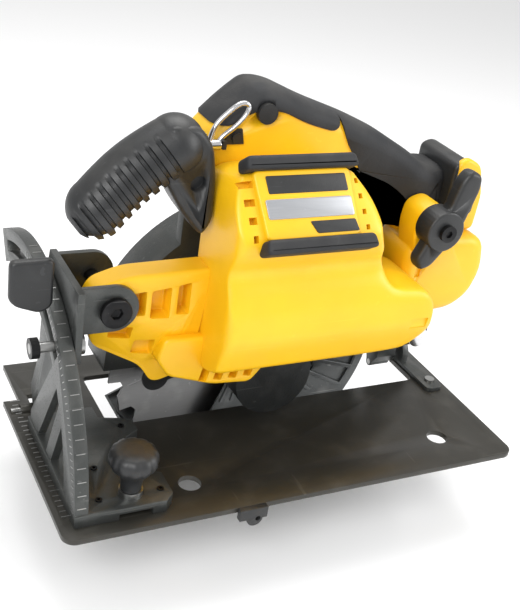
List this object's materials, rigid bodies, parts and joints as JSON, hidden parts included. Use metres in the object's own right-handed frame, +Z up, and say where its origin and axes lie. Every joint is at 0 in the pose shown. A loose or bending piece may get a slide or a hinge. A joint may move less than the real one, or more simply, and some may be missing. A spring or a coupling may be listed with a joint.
{
  "type": "circular saw",
  "caption": "Hand-held battery circular saw with a steel shoe, bevel quadrant, swinging lower guard, geared motor, loop handle and front handle.",
  "frame": {"origin": "on the sole's plane, in the blade's middle plane, straight under the arbor in the rest pose", "axes": "+Z up out of the sole, -X towards the front of the cut, -Y towards the motor side"},
  "size_m": [0.3265, 0.1862, 0.2845],
  "materials": {
    "shoe_sheet": "dark satin coat on sheet steel, scratched",
    "grey_casting": "dark grey paint on a fine casting",
    "dark_casting": "bare dark casting",
    "guard_alloy": "die cast, blasted",
    "black_steel": "black oxide",
    "zinc_steel": "zinc plated",
    "chrome_steel": "bright plated",
    "blade_steel": "ground steel",
    "bronze": "sintered bronze",
    "yellow_plastic": "fine moulded grain",
    "black_plastic": "fine moulded grain",
    "black_rubber": "soft overmould",
    "silver_label": "silver film, no lettering",
    "circuit_board": "lacquered board",
    "copper_winding": "enamelled copper"
  },
  "bodies": {
    "shoe": {"shoe_plate": "shoe_sheet", "edge_hook": "black_plastic", "bevel_quadrant": "grey_casting", "quadrant_screws": "black_steel", "fence_stud": "zinc_steel", "rear_bevel_foot": "grey_casting", "rear_foot_rivets": "zinc_steel", "bevel_pins": "zinc_steel"},
    "clamp_knob": {"fence_knob": "black_plastic"},
    "tilt_frame": {"tilt_bracket": "grey_casting", "depth_pivot_screw": "black_steel", "rear_depth_bracket": "grey_casting", "bevel_clamp_bolt": "zinc_steel", "bevel_lever_nut": "black_steel"},
    "bevel_clamp": {"bevel_lever": "black_plastic"},
    "saw_body": {"upper_guard": "grey_casting", "gear_case": "dark_casting", "gear_case_screws": "black_steel", "motor_housing": "yellow_plastic", "motor_end_cap": "yellow_plastic", "end_cap_bumpers": "black_rubber", "badge_plates": "silver_label", "housing_screws": "black_steel", "rear_housing": "yellow_plastic", "handle_near": "yellow_plastic", "handle_far": "yellow_plastic", "grip_cover": "black_rubber", "front_handle": "black_plastic", "battery_receptacle": "black_plastic", "terminal_block": "black_plastic", "depth_arm": "dark_casting", "depth_clamp_bolt": "chrome_steel", "switch_module": "black_plastic", "controller_board": "circuit_board", "motor_stator": "copper_winding", "rotor_bearings": "zinc_steel", "gear_bearings": "zinc_steel", "hook_pocket": "black_plastic", "depth_lever_screw": "black_steel", "dust_port": "black_plastic", "guard_spring": "zinc_steel"},
    "rafter_hook_body": {"rafter_hook": "chrome_steel"},
    "trigger_body": {"trigger": "black_plastic"},
    "lock_off_body": {"lock_off_button": "black_plastic"},
    "spindle_lock_body": {"spindle_lock": "black_plastic"},
    "depth_lever_body": {"depth_lever": "black_plastic"},
    "rotor": {"rotor_core": "zinc_steel", "motor_shaft": "zinc_steel", "cooling_fan": "black_plastic"},
    "idler": {"idler_gear": "zinc_steel"},
    "arbor": {"arbor_shaft": "zinc_steel", "drive_gear": "zinc_steel", "inner_flange": "zinc_steel", "blade": "blade_steel", "outer_flange": "zinc_steel", "blade_bolt": "black_steel"},
    "lower_guard_body": {"lower_guard": "guard_alloy", "guard_hub_ring": "bronze", "guard_lever": "black_plastic"}
  },
  "joints": [
    {"name": "bevel", "type": "hinge", "parent": "shoe", "child": "tilt_frame", "pos_m": [0, 0, 0.0035], "axis": [-1, 0, 0], "range_deg": [0, 56]},
    {"name": "cut_depth", "type": "hinge", "parent": "tilt_frame", "child": "saw_body", "pos_m": [-0.117, 0, 0.11], "axis": [0, -1, 0], "range_deg": [-3, 25]},
    {"name": "clamp_knob_turn", "type": "hinge", "parent": "shoe", "child": "clamp_knob", "pos_m": [-0.113, -0.105, 0.02], "axis": [0, 0, 1], "range_deg": [-180, 180]},
    {"name": "bevel_lever_turn", "type": "hinge", "parent": "tilt_frame", "child": "bevel_clamp", "pos_m": [-0.153, -0.06172, 0.08845], "axis": [1, 0, 0], "range_deg": [0, 60]},
    {"name": "depth_lever_turn", "type": "hinge", "parent": "saw_body", "child": "depth_lever_body", "pos_m": [0.092, -0.067, 0.147], "axis": [0, -1, 0], "range_deg": [0, 40]},
    {"name": "trigger_pull", "type": "hinge", "parent": "saw_body", "child": "trigger_body", "pos_m": [-0.016, -0.022, 0.186], "axis": [0, -1, 0], "range_deg": [0, 9], "stiffness_Nm_per_rad": 2, "springref_deg": -2.86},
    {"name": "lock_off_press", "type": "slide", "parent": "saw_body", "child": "lock_off_body", "axis": [0, 1, 0], "range_m": [0, 0.003], "stiffness_N_per_m": 900, "springref_m": -0.001},
    {"name": "spindle_lock_press", "type": "slide", "parent": "saw_body", "child": "spindle_lock_body", "axis": [1, 0, 0], "range_m": [0, 0.0025], "stiffness_N_per_m": 900, "springref_m": -0.001},
    {"name": "hook_swing", "type": "hinge", "parent": "saw_body", "child": "rafter_hook_body", "pos_m": [-0.05785, -0.0425, 0.196], "axis": [1, 0, 0], "range_deg": [0, 60]},
    {"name": "arbor_spin", "type": "hinge", "parent": "saw_body", "child": "arbor", "pos_m": [0, 0, 0.04], "axis": [0, 1, 0], "continuous": true},
    {"name": "idler_spin", "type": "hinge", "parent": "saw_body", "child": "idler", "pos_m": [0, -0.036, 0.0715], "axis": [0, 1, 0], "continuous": true},
    {"name": "rotor_spin", "type": "hinge", "parent": "saw_body", "child": "rotor", "pos_m": [0, -0.07, 0.1015], "axis": [0, 1, 0], "continuous": true},
    {"name": "guard_swing", "type": "hinge", "parent": "saw_body", "child": "lower_guard_body", "pos_m": [0, 0, 0.04], "axis": [0, -1, 0], "range_deg": [0, 115], "stiffness_Nm_per_rad": 0.3, "springref_deg": -34.38, "deforming": ["guard_spring"]}
  ],
  "couplings": [
    {"joint": "idler_spin", "follows": "arbor_spin", "ratio": -2},
    {"joint": "rotor_spin", "follows": "arbor_spin", "ratio": 6}
  ]
}
